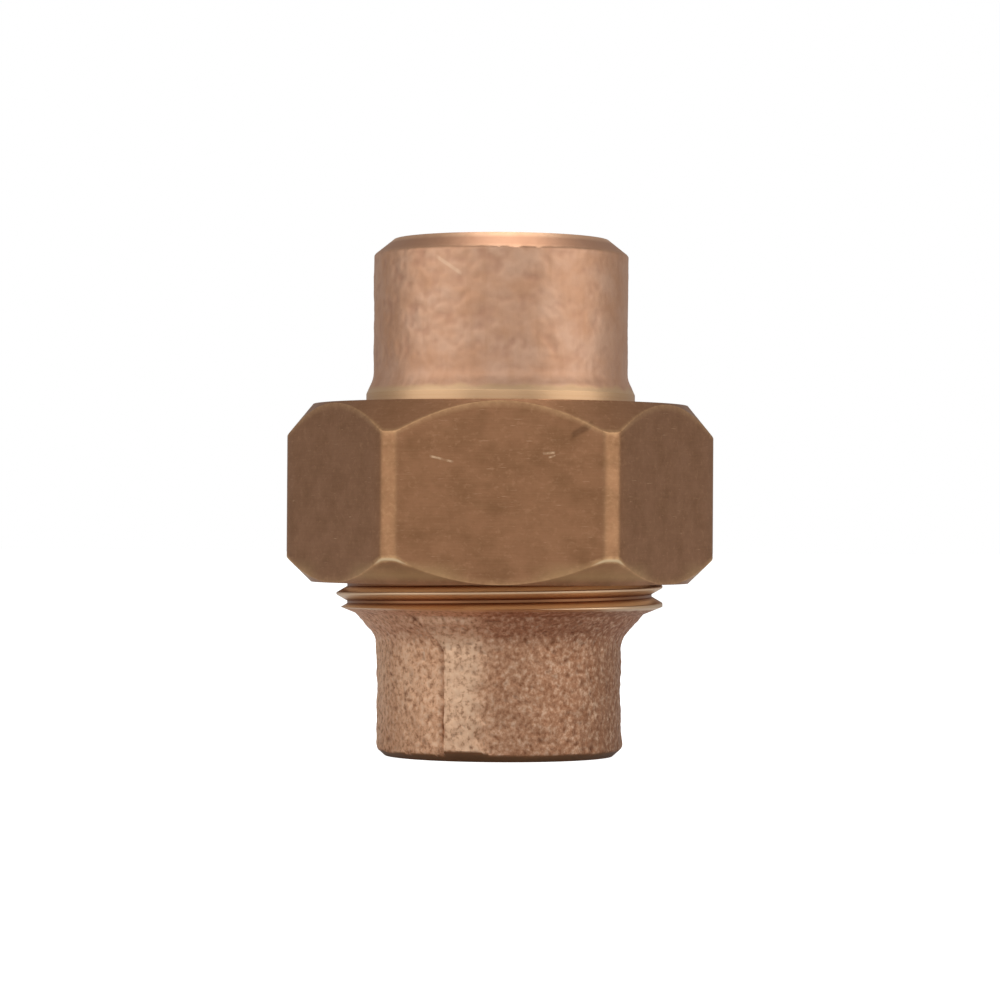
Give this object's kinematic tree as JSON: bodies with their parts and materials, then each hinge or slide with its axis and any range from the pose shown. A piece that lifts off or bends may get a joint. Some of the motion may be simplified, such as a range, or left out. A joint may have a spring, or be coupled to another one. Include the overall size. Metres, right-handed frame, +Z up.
{
  "type": "pipe union",
  "caption": "Pipe union: a hexagon union nut draws a solder-cup tailpiece down onto the conical seat of a threaded solder-cup end.",
  "frame": {"origin": "on the common axis of the waterway, in the plane of the lower mouth that the union stands on", "axes": "+Z up the common axis, from the threaded end to the tailpiece; -Y out through one wrench flat of the nut; +X through a corner of the nut"},
  "size_m": [0.0452, 0.04, 0.0546],
  "materials": {
    "sand_cast_bronze_end": "sand-cast skin, machined thread and seat",
    "cast_bronze_tailpiece": "smooth cast skin, machined mouth and nose",
    "machined_bronze_nut": "machined, slightly brushed"
  },
  "bodies": {
    "threaded_end": {"threaded_end": "sand_cast_bronze_end"},
    "tailpiece": {"tailpiece": "cast_bronze_tailpiece"},
    "union_nut": {"union_nut": "machined_bronze_nut"}
  },
  "joints": [
    {"name": "tail_lift", "type": "slide", "parent": "threaded_end", "child": "tailpiece", "axis": [0, 0, 1], "range_m": [0, 0.0091]},
    {"name": "nut_turn", "type": "hinge", "parent": "tailpiece", "child": "union_nut", "pos_m": [0, 0, 0.0277], "axis": [0, 0, 1], "range_deg": [0, 1800]}
  ],
  "couplings": [
    {"joint": "tail_lift", "follows": "nut_turn", "m_per_rad": 0.00028875}
  ]
}
